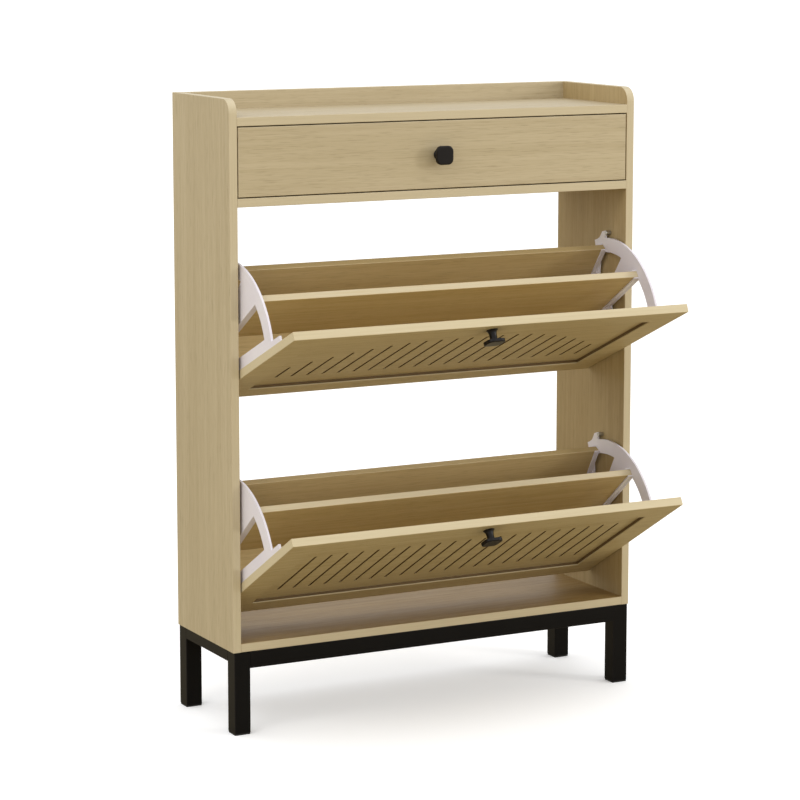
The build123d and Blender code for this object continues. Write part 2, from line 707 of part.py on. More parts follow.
for x_side, name in ((-1, "drawer_left_side"), (1, "drawer_right_side")):
    with BuildPart() as drawer_side:
        x_span = sorted((x_side * drawer_side_outer, x_side * drawer_side_inner))
        block(x_span, (drawer_front_back, drawer_back_y), (drawer_side_bottom, drawer_side_top))
        fillet(drawer_side.faces().sort_by(Axis.Z)[-1].edges().filter_by(Axis.Y), edge_round)
        groove = sorted((x_side * drawer_side_inner, x_side * (drawer_side_inner + drawer_groove_depth)))
        block(groove, (drawer_front_back, drawer_back_y),
              (groove_low - groove_play, groove_high + groove_play), mode=Mode.SUBTRACT)
        for z in front_bolt_z:
            bore(facing(x_side * (drawer_side_outer - drawer_board / 2), drawer_front_back, z, (0, -1, 0)),
                 front_bolt_radius + front_bolt_room, front_cam_reach)
            bore(facing(x_side * drawer_side_inner, drawer_front_back + front_cam_reach, z, (-x_side, 0, 0)),
                 front_cam_radius + joint_play, front_cam_depth)
        for z in drawer_screw_z:
            place = drawer_screw_plane(x_side, z)
            bore(place, drawer_screw_radius + joint_play, drawer_board + through)
            bore(place, drawer_screw_head + head_play, drawer_screw_head_height + head_play)
        for y in slide_screw_y:
            bore(facing(x_side * drawer_side_outer, y, slide_z, (x_side, 0, 0)),
                 slide_screw_radius + joint_play, slide_screw_length - slide_sheet + tip_play)
    finish(drawer_side, name)

with BuildPart() as drawer_back:
    block((-drawer_side_inner, drawer_side_inner), (drawer_back_y - drawer_board, drawer_back_y),
          (drawer_side_bottom, drawer_side_top))
    fillet(drawer_back.faces().sort_by(Axis.Z)[-1].edges().filter_by(Axis.X), edge_round)
    block((-drawer_side_inner, drawer_side_inner),
          (drawer_back_y - drawer_board, drawer_back_y - drawer_board + drawer_groove_depth),
          (groove_low - groove_play, groove_high + groove_play), mode=Mode.SUBTRACT)
    for x_side in (-1, 1):
        for z in drawer_screw_z:
            bore(facing(x_side * drawer_side_inner, drawer_back_y - drawer_board / 2, z, (x_side, 0, 0)),
                 drawer_screw_radius + joint_play, drawer_screw_length - drawer_board + tip_play)
finish(drawer_back, "drawer_back")

tongue = drawer_groove_depth - tip_play
with BuildPart() as drawer_bottom:
    block((-drawer_side_inner - tongue, drawer_side_inner + tongue),
          (drawer_front_back - tongue, drawer_back_y - drawer_board + tongue), (groove_low, groove_high))
finish(drawer_bottom, "drawer_bottom")

with BuildPart() as drawer_cam_bolts:
    for x_side in (-1, 1):
        for z in front_bolt_z:
            joint = drawer_front_bolt_plane(x_side, z)
            stud(joint, front_bolt_radius, front_bolt_grip)
            head(joint, front_bolt_radius - front_bolt_neck, front_bulb_start + front_bolt_bulb_length)
            head(joint.offset(front_bulb_start), front_bolt_radius + front_bolt_bulb, front_bolt_bulb_length)
finish(drawer_cam_bolts, "drawer_cam_bolts")

with BuildPart() as drawer_cams:
    for x_side in (-1, 1):
        for z in front_bolt_z:
            top = facing(x_side * drawer_side_inner, drawer_front_back + front_cam_reach, z, (-x_side, 0, 0))
            cam(top, (0, -1, 0), front_cam_radius, front_cam_depth, front_bolt_radius + front_bolt_room,
                drawer_board / 2, front_cam_cross_span, front_cam_cross_depth)
finish(drawer_cams, "drawer_cams")

with BuildPart() as drawer_screws:
    for x_side in (-1, 1):
        for z in drawer_screw_z:
            place = drawer_screw_plane(x_side, z)
            stud(place, drawer_screw_radius, drawer_screw_length)
            stud(place, drawer_screw_head, drawer_screw_head_height)
            cross_recess(place, drawer_screw_cross, drawer_screw_head_height / 2)
finish(drawer_screws, "drawer_screws")


# ---------------------------------------------------------------- knobs
def knob_profile():
    """Half of the knob's stem, flaring to its foot; drawn on a plane through its axis."""
    stem_top = knob_projection - knob_head_thickness
    with BuildLine() as outline:
        foot = Polyline((0, 0), (knob_foot_radius, 0), (knob_foot_radius, knob_foot_edge))
        flare = Bezier(foot @ 1, (knob_stem_radius + knob_waist, knob_flare_height),
                       (knob_stem_radius - knob_waist, stem_top * knob_waist_height),
                       (knob_stem_radius + knob_collar, stem_top))
        Polyline(flare @ 1, (0, stem_top), (0, 0))
    make_face(outline.edges())


def make_knob(name, seat):
    """A square-headed knob whose foot sits on a plane, with a blind threaded hole behind."""
    across = Plane(origin=seat.origin, x_dir=seat.x_dir, z_dir=-seat.y_dir)
    with BuildPart() as knob:
        with BuildSketch(across):
            knob_profile()
        revolve(axis=Axis(seat.origin, seat.z_dir))
        with BuildSketch(seat.offset(knob_projection - knob_head_thickness)):
            RectangleRounded(knob_head, knob_head, knob_corner)
        extrude(amount=knob_head_thickness)
        head_faces = knob.faces().sort_by(lambda face: (face.center() - seat.origin).dot(seat.z_dir))
        fillet(head_faces[-1].edges(), knob_edge_round)
        bore(Plane(origin=seat.origin, z_dir=-seat.z_dir), knob_screw_radius + joint_play,
             knob_screw_bite + tip_play)
    finish(knob, name)


def make_knob_screw(name, inner_face):
    """A pan-head screw from the board's inner face into the knob."""
    with BuildPart() as one:
        stud(inner_face, knob_screw_radius, board + knob_screw_bite)
        head(inner_face, knob_screw_head, knob_screw_head_height)
        cross_recess(inner_face.offset(knob_screw_head_height), knob_screw_cross, knob_screw_head_height / 2)
    finish(one, name)


make_knob("drawer_knob", Plane(origin=(0, front, drawer_middle_z), x_dir=(1, 0, 0), z_dir=(0, -1, 0)))
make_knob_screw("drawer_knob_screw", facing(0, drawer_front_back, drawer_middle_z, (0, 1, 0)))

# ---------------------------------------------------------------- tilt-out bins
# Each bin is drawn about its pivot as it stands closed: local X across, Y back, Z up the flap.
# `hang` carries that drawing to the pivot and tilts it open.
slit_row = [(i - (slit_count - 1) / 2) * slit_pitch for i in range(slit_count)]
arch_half = slit_row[-1]
arch_drop = arch_end_top - slit_top + arch_crown_cut
arch_radius = (arch_half ** 2 + arch_drop ** 2) / (2 * arch_drop)


def straight_top(x):
    """Upper end of a slit, all level."""
    return slit_top


def arched_top(x):
    """Upper end of a slit under a circular arch with its crown cut off level."""
    fall = arch_radius - (arch_radius ** 2 - x ** 2) ** 0.5
    return max(slit_top, slit_top - arch_crown_cut + fall)


def divider_front(z):
    """The divider's front face, behind the pivot, at a height."""
    return divider_foot + divider_slope * z


def divider_rear(z):
    """The divider's rear face at a height."""
    return divider_front(z) + bin_board / cos(radians(divider_lean))


def back_rear(z):
    """The back board's rear face at a height."""
    return back_top_y - back_slope * (back_top_z - z)


def back_front(z):
    """The back board's front face at a height."""
    return back_rear(z) - bin_board / cos(radians(back_lean))


def slab(points, mode=Mode.ADD):
    """A straight-sided outline in the local YZ plane, as a face."""
    Polygon(*points, align=None, mode=mode)


def divider_outline(play=0.0):
    """The divider's cross-section, grown by a play on each face."""
    slant = Vector(sin(radians(divider_lean)), cos(radians(divider_lean)))
    across = Vector(slant.Y, -slant.X)
    foot = Vector(divider_front(divider_bottom), divider_bottom) - across * play
    thick = across * (bin_board + 2 * play)
    rise = slant * ((divider_top - divider_bottom) / slant.Y)
    return [foot, foot + thick, foot + thick + rise, foot + rise]


def back_outline(play=0.0):
    """The back board's cross-section, grown by a play on each face."""
    slant = Vector(sin(radians(back_lean)), cos(radians(back_lean)))
    across = Vector(slant.Y, -slant.X)
    top = Vector(back_top_y, back_top_z) + across * play
    thick = across * (bin_board + 2 * play)
    drop = slant * (back_drop / slant.Y)
    return [top - drop, top, top - thick, top - thick - drop]


def front_floor_outline(play=0.0):
    """The floor of the front compartment, between the flap and the divider."""
    low, high = front_floor_level - bin_board - play, front_floor_level + play
    edge = flap_inner + bracket_rib + floor_front_gap
    return [(edge, low), (divider_front(low) - board_play, low),
            (divider_front(high) - board_play, high), (edge, high)]


def rear_floor_outline(play=0.0):
    """The floor of the rear compartment, between the divider and the back board."""
    low, high = rear_floor_level - bin_board - play, rear_floor_level + play
    return [(divider_rear(low) + board_play, low), (back_front(low) - board_play, low),
            (back_front(high) - board_play, high), (divider_rear(high) + board_play, high)]


def polar(radius, angle):
    """A point at a radius and degrees back from the flap's upward direction."""
    return radius * sin(radians(angle)), radius * cos(radians(angle))


bar_rear = flap_inner + front_bar
web_foot = divider_bottom - web_drop


def bracket_plate_face():
    """Side view of a bracket: front bar, quarter arc, spokes, hub and stop hook."""
    with BuildLine() as sector:
        tab_rear = flap_inner + front_tab
        arc_start = (tab_rear, (arc_outer ** 2 - tab_rear ** 2) ** 0.5)
        end_outer = polar(arc_outer, arc_end)
        end_inner = polar(arc_inner, arc_end)
        sweep = ThreePointArc(arc_start, polar(arc_outer, arc_end / 2), end_outer)
        heel = (back_front(rear_floor_level) + heel_reach, rear_floor_level - heel_drop)
        toe = (divider_rear(divider_bottom) + toe_reach, web_foot)
        Polyline(sweep @ 1, end_inner, heel, toe, (bar_rear, web_foot), (bar_rear, front_bar_bottom),
                 (flap_inner, front_bar_bottom), (flap_inner, front_bar_top),
                 (tab_rear, front_bar_top), arc_start)
    make_face(sector.edges())
    # hook: a finger rising past the arc, just above its rear end
    slab([polar(arc_inner + hook_sink, hook_front), polar(hook_reach, hook_front),
          polar(hook_reach - hook_tip_slope, hook_back), polar(arc_outer + hook_root_rise, hook_root),
          polar(arc_outer - hook_sink, arc_end - hook_heel),
          polar(arc_inner + hook_sink, arc_end - 2 * hook_heel)])


def bracket_windows():
    """The two openings between the spokes."""
    hub_clear = hub_radius + hub_gap
    spoke_front = divider_front(hub_clear) - spoke_cover
    reach = (arc_inner ** 2 - bar_rear ** 2) ** 0.5
    # where the divider spoke's front edge meets the arc
    lean = radians(divider_lean)
    offset = (divider_foot - spoke_cover) * cos(lean)
    along = (arc_inner ** 2 - offset ** 2) ** 0.5
    meet = (offset * cos(lean) + along * sin(lean), along * cos(lean) - offset * sin(lean))
    middle_angle = degrees(atan2(meet[0], meet[1])) / 2
    with BuildLine() as front_window:
        top = ThreePointArc((bar_rear, reach), polar(arc_inner, middle_angle), meet)
        Polyline(top @ 1, (spoke_front, hub_clear), (bar_rear, hub_clear), top @ 0)
    make_face(front_window.edges(), mode=Mode.SUBTRACT)
    # rear window, between the gusset and the back spoke
    gusset = polar(arc_inner, window_edge)
    shoulder = polar(arc_inner, arc_end - shoulder_gap)
    low_front = (divider_rear(window_foot) + gusset_foot, window_foot)
    low_rear = (back_front(window_foot) - back_spoke, window_foot - window_fall)
    with BuildLine() as rear_window:
        crown_angle = (window_edge + arc_end - shoulder_gap) / 2
        crown = ThreePointArc(gusset, polar(arc_inner, crown_angle), shoulder)
        Polyline(crown @ 1, low_rear, low_front, crown @ 0)
    make_face(rear_window.edges(), mode=Mode.SUBTRACT)


bar_screw_z = (-58.0, 34.0, 108.0, 186.0)
bar_screw_radius = 1.8
bar_screw_length = 13.0
bar_screw_head = 3.6
bar_screw_head_height = 2.0
divider_screw_z = (-30.0, 50.0, 112.0)
back_screw_z = (-20.0, 24.0)
rib_screw_radius = 1.4
rib_screw_length = 10.0
rib_screw_head = 2.8
rib_screw_head_height = 1.6
rib_screw_inset = 4.5           # from the channels' inner ends


def bin_screw_places(hang, x_side):
    """Planes of one bracket's screws: through its flange into the flap, and into the boards."""
    x_flange = x_side * (bracket_inner - bracket_flange / 2)
    x_rib = x_side * (bracket_inner - bracket_channel + rib_screw_inset)
    seat = flap_inner + bracket_rib
    flap_places = [hung(hang, facing(x_flange, seat, z, (0, 1, 0))) for z in bar_screw_z]
    lean, tilt = radians(divider_lean), radians(back_lean)
    rib_places = []
    for z in divider_screw_z:
        face = Vector(divider_rear(z), z) + Vector(cos(lean), -sin(lean)) * (bracket_rib + board_play)
        rib_places.append(hung(hang, facing(x_rib, face.X, face.Y, (0, cos(lean), -sin(lean)))))
    for z in back_screw_z:
        face = Vector(back_rear(z), z) + Vector(cos(tilt), -sin(tilt)) * (bracket_rib + board_play)
        rib_places.append(hung(hang, facing(x_rib, face.X, face.Y, (0, cos(tilt), -sin(tilt)))))
    return flap_places, rib_places


def make_bin(name, hang, slit_tops):
    """Every piece of one tilt-out bin."""
    side_view = hung(hang, Plane.YZ)
    screw_places = {x_side: bin_screw_places(hang, x_side) for x_side in (-1, 1)}
    flap_outer_y = -pivot_setback

    with BuildPart() as flap:
        with BuildSketch(hung(hang, Plane(origin=(0, flap_outer_y, 0), x_dir=(1, 0, 0), z_dir=(0, 1, 0)))):
            with Locations((0, -(flap_top - flap_height / 2))):
                Rectangle(2 * flap_half, flap_height)
        extrude(amount=board)
        outer = flap.faces().sort_by(lambda f: f.center().dot(side_view.x_dir))[0]
        inner = flap.faces().sort_by(lambda f: f.center().dot(side_view.x_dir))[-1]
        fillet(outer.edges() + inner.edges(), edge_round)
        with BuildSketch(hung(hang, Plane(origin=(0, flap_outer_y, 0), x_dir=(1, 0, 0), z_dir=(0, 1, 0)))):
            with Locations((0, -(flap_top - flap_height / 2))):
                Rectangle(2 * (flap_half - flap_border), flap_height - 2 * flap_border)
        extrude(amount=flap_recess, mode=Mode.SUBTRACT)
        with BuildSketch(hung(hang, Plane(origin=(0, flap_outer_y + flap_recess, 0), x_dir=(1, 0, 0),
                                      z_dir=(0, 1, 0)))):
            for x in slit_row:
                top, bottom = slit_tops(x), slit_bottom
                with Locations((x, -(flap_top - (top + bottom) / 2))):
                    SlotOverall(bottom - top, slit_width, rotation=90)
        extrude(amount=slit_depth, mode=Mode.SUBTRACT)
        for flap_places, _ in screw_places.values():
            for place in flap_places:
                bore(place.offset(-bracket_rib), bar_screw_radius + joint_play,
                     bar_screw_length - bracket_rib + tip_play)
        knob_place = hung(hang, facing(0, flap_inner, flap_top - knob_drop, (0, 1, 0)))
        bore(knob_place, knob_screw_radius + joint_play, board)
    finish(flap, f"{name}_flap_front")

    for x_side, side_name in ((-1, "left"), (1, "right")):
        plate_x = x_side * bracket_outer
        with BuildPart() as bracket:
            with BuildSketch(hung(hang, Plane.YZ.offset(plate_x))):
                bracket_plate_face()
                bracket_windows()
                Circle(hub_radius)
            extrude(amount=-x_side * bracket_plate)
            # channels round the ends of the boards
            with BuildSketch(hung(hang, Plane.YZ.offset(x_side * bracket_inner))):
                for outline in (divider_outline, back_outline, front_floor_outline, rear_floor_outline):
                    slab(outline(board_play + bracket_rib))
                for outline in (divider_outline, back_outline, front_floor_outline, rear_floor_outline):
                    slab(outline(board_play), mode=Mode.SUBTRACT)
            extrude(amount=-x_side * bracket_channel)
            # flange against the flap
            with BuildSketch(hung(hang, Plane.YZ.offset(x_side * bracket_inner))):
                slab([(flap_inner, front_bar_bottom), (flap_inner + bracket_rib, front_bar_bottom),
                      (flap_inner + bracket_rib, front_bar_top), (flap_inner, front_bar_top)])
            extrude(amount=-x_side * bracket_flange)
            pivot_face = hung(hang, facing(plate_x, 0, 0, (x_side, 0, 0)))
            head(pivot_face, pin_radius, bracket_gap + pin_length - socket_flange)
            head(pivot_face, pin_radius + pin_collar, bracket_gap - socket_flange - collar_gap)
            flap_places, rib_places = screw_places[x_side]
            for place in flap_places:
                bore(place, bar_screw_radius + joint_play, bracket_rib + through)
            for place in rib_places:
                bore(place, rib_screw_radius + joint_play, bracket_rib + through)
        finish(bracket, f"{name}_{side_name}_bracket")

    boards = {
        "divider": divider_outline,
        "back_board": back_outline,
        "front_floor": front_floor_outline,
        "rear_floor": rear_floor_outline,
    }
    for board_name, outline in boards.items():
        with BuildPart() as bin_part:
            with BuildSketch(side_view):
                slab(outline())
            extrude(amount=bin_half, both=True)
            if board_name in ("divider", "back_board"):
                up = side_view.y_dir
                top = bin_part.faces().sort_by(lambda f: f.center().dot(up))[-1]
                fillet(top.edges().filter_by(Axis.X), edge_round)
                for _, rib_places in screw_places.values():
                    for place in rib_places:
                        bore(place.offset(-bracket_rib - board_play), rib_screw_radius + joint_play,
                             rib_screw_length - bracket_rib)
        finish(bin_part, f"{name}_{board_name}")

    with BuildPart() as screws:
        for flap_places, rib_places in screw_places.values():
            for place in flap_places:
                stud(place, bar_screw_radius, bar_screw_length)
                head(place, bar_screw_head, bar_screw_head_height)
            for place in rib_places:
                stud(place, rib_screw_radius, rib_screw_length)
                head(place, rib_screw_head, rib_screw_head_height)
    finish(screws, f"{name}_bin_screws")

    knob_seat = Plane(origin=(0, flap_outer_y, flap_top - knob_drop), x_dir=(1, 0, 0), z_dir=(0, -1, 0))
    make_knob(f"{name}_knob", hung(hang, knob_seat))
    make_knob_screw(f"{name}_knob_screw", knob_place)


patterns = {"upper": arched_top, "lower": straight_top}
for name, (pivot_z, open_angle) in bins.items():
    hang = Location((0, pivot_y, pivot_z), (open_angle, 0, 0))
    make_bin(name, hang, patterns[name])
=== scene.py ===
import math
import bmesh
import bpy
import numpy
from mathutils import Matrix, Vector


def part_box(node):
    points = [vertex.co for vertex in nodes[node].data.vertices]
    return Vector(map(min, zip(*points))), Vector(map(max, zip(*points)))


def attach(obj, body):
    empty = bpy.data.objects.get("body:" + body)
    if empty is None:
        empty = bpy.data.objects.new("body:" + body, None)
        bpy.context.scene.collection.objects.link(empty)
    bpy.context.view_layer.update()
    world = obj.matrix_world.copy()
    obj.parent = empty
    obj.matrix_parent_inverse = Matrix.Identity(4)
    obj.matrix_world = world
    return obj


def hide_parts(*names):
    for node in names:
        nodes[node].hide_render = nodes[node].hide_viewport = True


# Shoe cabinet: light oak boards, black powder-coated base, moulded white brackets.
# Metres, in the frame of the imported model: X across the front, +Y to the back, +Z up.

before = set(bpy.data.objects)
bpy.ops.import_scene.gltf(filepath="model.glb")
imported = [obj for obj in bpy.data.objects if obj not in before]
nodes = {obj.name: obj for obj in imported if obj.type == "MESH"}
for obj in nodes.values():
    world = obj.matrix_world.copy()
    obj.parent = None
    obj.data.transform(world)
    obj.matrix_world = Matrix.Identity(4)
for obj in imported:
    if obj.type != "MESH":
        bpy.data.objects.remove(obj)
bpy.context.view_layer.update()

MM = 0.001
BINS = ("upper", "lower")
SIDES = ("left", "right")
ACROSS = Vector((1, 0, 0))
BACKWARD = Vector((0, 1, 0))
UP = Vector((0, 0, 1))

CAMERA_PLACE = Vector((-2.387, -4.5477, 1.3894))
CAMERA_TURN = math.radians(27.559)      # to the right of straight on
CAMERA_DROP = math.radians(8.42)        # below the horizon
CAMERA_LENS = 129.92
CAMERA_SHIFT = -0.06

BORDER = 45 * MM                # the milled field of a flap lies inside this border
GROOVE_SHADE_START = 1.2 * MM         # below the face, where the painted shade on a groove's wall begins
GROOVE_SHADE_FULL = 2.0 * MM
PORE_DEPTH = 0.15 * MM

SCREW_SIZES = ("Shank Radius", "Shank Length", "Head Radius", "Head Height", "Cross Span", "Cross Width")
CROSS_SHARE = 1.15              # the cross spans this many head radii
CROSS_WIDTH = 1.0 * MM
DOME_SHARE = 1.6                # the ball that a head is cut from, in head heights
TIP_SHARE = 0.25                # share of the shank that narrows, and the radius it narrows to


# ---------------------------------------------------------------- camera, floor and light
def aim(thing, place, target):
    """Stand a camera or a light at a place, looking at a target."""
    thing.location = place
    thing.rotation_euler = (Vector(target) - Vector(place)).to_track_quat("-Z", "Y").to_euler()


def make_camera():
    """The camera stands to the left of the cabinet and looks a little down on it."""
    data = bpy.data.cameras.new("view_camera")
    data.lens = CAMERA_LENS
    data.shift_y = CAMERA_SHIFT
    camera = bpy.data.objects.new("view_camera", data)
    bpy.context.collection.objects.link(camera)
    ahead = math.cos(CAMERA_DROP)
    sight = Vector((math.sin(CAMERA_TURN) * ahead, math.cos(CAMERA_TURN) * ahead, -math.sin(CAMERA_DROP)))
    aim(camera, CAMERA_PLACE, CAMERA_PLACE + sight)
    bpy.context.scene.camera = camera


def soft_box(name, place, target, width, height, power, color):
    """A rectangular studio light."""
    data = bpy.data.lights.new(name, "AREA")
    data.shape = "RECTANGLE"
    data.size, data.size_y = width, height
    data.energy = power
    data.color = color
    light = bpy.data.objects.new(name, data)
    bpy.context.collection.objects.link(light)
    aim(light, place, target)


def make_studio():
    """White surroundings, a pale floor and two soft boxes."""
    world = bpy.data.worlds.new("studio")
    bpy.context.scene.world = world
    world.use_nodes = True
    backdrop = world.node_tree.nodes["Background"]
    backdrop.inputs["Color"].default_value = (1.0, 1.0, 1.0, 1.0)
    backdrop.inputs["Strength"].default_value = 1.08
    middle = (0.0, 0.0, 0.6)
    soft_box("key_light", (3.0, -2.7, 1.7), middle, 0.8, 0.8, 34.0, (1.0, 0.985, 0.96))
    soft_box("side_light", (-2.0, -1.0, 2.3), (-0.4, 0.0, 1.0), 1.0, 1.0, 9.0, (1.0, 1.0, 1.0))
    bpy.ops.mesh.primitive_circle_add(vertices=96, radius=60.0, fill_type="NGON")
    floor = bpy.context.object
    floor.name = "studio_floor"
    floor.data.materials.append(floor_paint())
    settings = bpy.context.scene.view_settings
    settings.view_transform = "Standard"
    settings.look = "None"


# ---------------------------------------------------------------- material building blocks
def srgb(red, green, blue):
    """A colour given as 0-255 display values, as the linear RGBA that a shader takes."""
    def linear(value):
        part = value / 255
        return part / 12.92 if part <= 0.04045 else ((part + 0.055) / 1.055) ** 2.4
    return linear(red), linear(green), linear(blue), 1.0


class Net:
    """A node tree that is wired up by calls; sockets and plain values can be mixed."""

    def __init__(self, tree):
        self.tree = tree

    def node(self, kind, inputs=None, **settings):
        made = self.tree.nodes.new(kind)
        for key, value in settings.items():
            setattr(made, key, value)
        for key, value in (inputs or {}).items():
            if isinstance(value, bpy.types.NodeSocket):
                self.tree.links.new(value, made.inputs[key])
            else:
                made.inputs[key].default_value = value
        return made

    def math(self, operation, first, second=0.0, clamp=False):
        made = self.node("ShaderNodeMath", {0: first, 1: second}, operation=operation, use_clamp=clamp)
        return made.outputs[0]

    def remap(self, value, low, high, new_low=0.0, new_high=1.0):
        inputs = {"Value": value, "From Min": low, "From Max": high, "To Min": new_low, "To Max": new_high}
        return self.node("ShaderNodeMapRange", inputs).outputs["Result"]

    def mix(self, factor, first, second):
        inputs = {"Factor": factor, 6: first, 7: second}
        return self.node("ShaderNodeMix", inputs, data_type="RGBA").outputs[2]

    def noise(self, vector, scale, detail=3.0, roughness=0.55, distortion=0.0):
        inputs = {"Vector": vector, "Scale": scale, "Detail": detail, "Roughness": roughness,
                  "Distortion": distortion}
        return self.node("ShaderNodeTexNoise", inputs).outputs["Fac"]

    def stretch(self, vector, scale, offset=(0.0, 0.0, 0.0), turn=(0.0, 0.0, 0.0)):
        inputs = {"Vector": vector, "Scale": scale, "Location": offset, "Rotation": turn}
        return self.node("ShaderNodeMapping", inputs).outputs["Vector"]

    def dot(self, value, way):
        """Component of a place along a direction."""
        return self.node("ShaderNodeVectorMath", {0: value, 1: way}, operation="DOT_PRODUCT").outputs["Value"]

    def bump(self, height, strength, distance):
        inputs = {"Height": height, "Strength": strength, "Distance": distance}
        return self.node("ShaderNodeBump", inputs).outputs["Normal"]


def new_material(name):
    """An empty material: its net and its main shader."""
    material = bpy.data.materials.new(name)
    material.use_nodes = True
    net = Net(material.node_tree)
    return material, net, material.node_tree.nodes["Principled BSDF"]


def wire(net, shader, **sockets):
    """Join results to a shader's sockets, named with underscores for spaces."""
    for key, value in sockets.items():
        net.tree.links.new(value, shader.inputs[key.replace("_", " ")])


def floor_paint():
    """Matt white studio floor, which throws back less light than it shows."""
    material, net, shader = new_material("floor_white")
    seen = net.node("ShaderNodeLightPath").outputs["Is Camera Ray"]
    wire(net, shader, Base_Color=net.mix(seen, srgb(184, 171, 140), srgb(253, 253, 253)),
         Emission_Strength=net.math("MULTIPLY", seen, 0.22))
    shader.inputs["Emission Color"].default_value = (1.0, 1.0, 1.0, 1.0)
    shader.inputs["Roughness"].default_value = 0.9
    shader.inputs["Specular IOR Level"].default_value = 0.0
    return material


def group_of(name, inputs, outputs):
    """An empty shader group with typed sockets."""
    tree = bpy.data.node_groups.new(name, "ShaderNodeTree")
    for label, kind in inputs:
        tree.interface.new_socket(label, in_out="INPUT", socket_type=kind)
    for label, kind in outputs:
        tree.interface.new_socket(label, in_out="OUTPUT", socket_type=kind)
    net = Net(tree)
    return net, net.node("NodeGroupInput"), net.node("NodeGroupOutput")


# ---------------------------------------------------------------- oak foil
def oak_grain_group():
    """Oak foil: X runs along the grain and Z stands on the face, in metres."""
    net, entry, leave = group_of(
        "oak_grain",
        [("Place", "NodeSocketVector"), ("Facing", "NodeSocketVector"), ("Depth", "NodeSocketFloat"),
         ("Light", "NodeSocketColor"), ("Dark", "NodeSocketColor"), ("Cut", "NodeSocketColor")],
        [("Color", "NodeSocketColor"), ("Height", "NodeSocketFloat"), ("Roughness", "NodeSocketFloat")])
    place = entry.outputs["Place"]
    clouds = net.noise(net.stretch(place, (1.1, 7.0, 7.0)), 1.6, 2.0)
    drift = net.noise(net.stretch(place, (2.0, 16.0, 16.0)), 1.0, 2.0)
    swayed = net.node("ShaderNodeVectorMath", {0: place, 1: net.node("ShaderNodeCombineXYZ", {
        "Y": net.math("MULTIPLY", drift, 0.006)}).outputs["Vector"]}, operation="ADD").outputs["Vector"]
    bands = net.noise(net.stretch(swayed, (1.4, 95.0, 95.0)), 1.0, 4.0, 0.6)
    streaks = net.noise(net.stretch(swayed, (8.0, 460.0, 460.0)), 1.0, 3.0, 0.65)
    pores = net.noise(net.stretch(swayed, (30.0, 900.0, 900.0)), 1.0, 1.0, 0.5)
    pore_mask = net.remap(pores, 0.58, 0.70)
    tone = net.math("ADD", net.remap(bands, 0.32, 0.68, 0.0, 0.45), net.remap(streaks, 0.30, 0.70, 0.0, 0.38))
    tone = net.math("ADD", tone, net.remap(clouds, 0.3, 0.7, 0.0, 0.25), clamp=True)
    face_color = net.mix(tone, entry.outputs["Light"], entry.outputs["Dark"])
    shadowed = net.mix(net.math("MULTIPLY", pore_mask, 0.22), face_color, srgb(96, 74, 40))
    facing = net.node("ShaderNodeSeparateXYZ", {0: entry.outputs["Facing"]}).outputs
    steep = net.math("ABSOLUTE", facing["Z"])
    cut_mask = net.remap(steep, 0.5, 0.3)
    end_grain = net.mix(net.remap(streaks, 0.4, 0.7, 0.0, 0.25), entry.outputs["Cut"], entry.outputs["Dark"])
    color = net.mix(cut_mask, shadowed, end_grain)
    # painted shade: below the face, a groove's walls are mixed toward dark brown in place of the shade inside
    # the groove
    milled = net.math("MULTIPLY", cut_mask, net.remap(entry.outputs["Depth"], GROOVE_SHADE_START, GROOVE_SHADE_FULL))
    painted_groove_shade = net.mix(net.remap(streaks, 0.35, 0.65), srgb(104, 80, 42), srgb(80, 60, 30))
    color = net.mix(net.math("MULTIPLY", milled, 0.95), color, painted_groove_shade)
    # painted highlight, partly wear: rounded edges are lightened in patches
    arris = net.remap(largest_part(net, facing), 0.97, 0.80)
    rubbed_and_highlit = net.math("MULTIPLY", arris, net.remap(net.noise(place, 9.0, 4.0), 0.35, 0.65, 0.15, 0.6))
    color = net.mix(rubbed_and_highlit, color, srgb(220, 207, 178))
    height = net.math("SUBTRACT", net.math("MULTIPLY", streaks, 0.35), pore_mask)
    roughness = net.math("ADD", net.remap(streaks, 0.3, 0.7, 0.44, 0.56),
                         net.math("MULTIPLY", pore_mask, 0.12))
    for label, value in (("Color", color), ("Height", height), ("Roughness", roughness)):
        net.tree.links.new(value, leave.inputs[label])
    return net.tree


def largest_part(net, parts):
    """The largest component of a normal, without its sign; on an edge it is smaller."""
    sizes = [net.math("ABSOLUTE", parts[axis]) for axis in "XYZ"]
    return net.math("MAXIMUM", sizes[0], net.math("MAXIMUM", sizes[1], sizes[2]))


def main_normal(node):
    """The direction that most of a board's surface faces."""
    sums = {}
    for face in nodes[node].data.polygons:
        way = face.normal if face.normal.dot(Vector((0.31, 0.73, 0.61))) > 0 else -face.normal
        key = tuple(round(part, 1) for part in way)
        area, total = sums.get(key, (0.0, Vector()))
        sums[key] = (area + face.area, total + way * face.area)
    return max(sums.values(), key=lambda item: item[0])[1].normalized()


def milled_depth(net, place, node, normal, cross):
    """Depth below a board's face, counted inside its border only."""
    reach = [vertex.co.dot(normal) for vertex in nodes[node].data.vertices]
    depth = net.math("SUBTRACT", max(reach), net.dot(place, normal))
    for way in (ACROSS, cross):
        spots = [vertex.co.dot(way) for vertex in nodes[node].data.vertices]
        middle, half = (max(spots) + min(spots)) / 2, (max(spots) - min(spots)) / 2
        aside = net.math("ABSOLUTE", net.math("SUBTRACT", net.dot(place, way), middle))
        depth = net.math("MULTIPLY", depth, net.remap(aside, half - BORDER, half - BORDER - MM))
    return depth


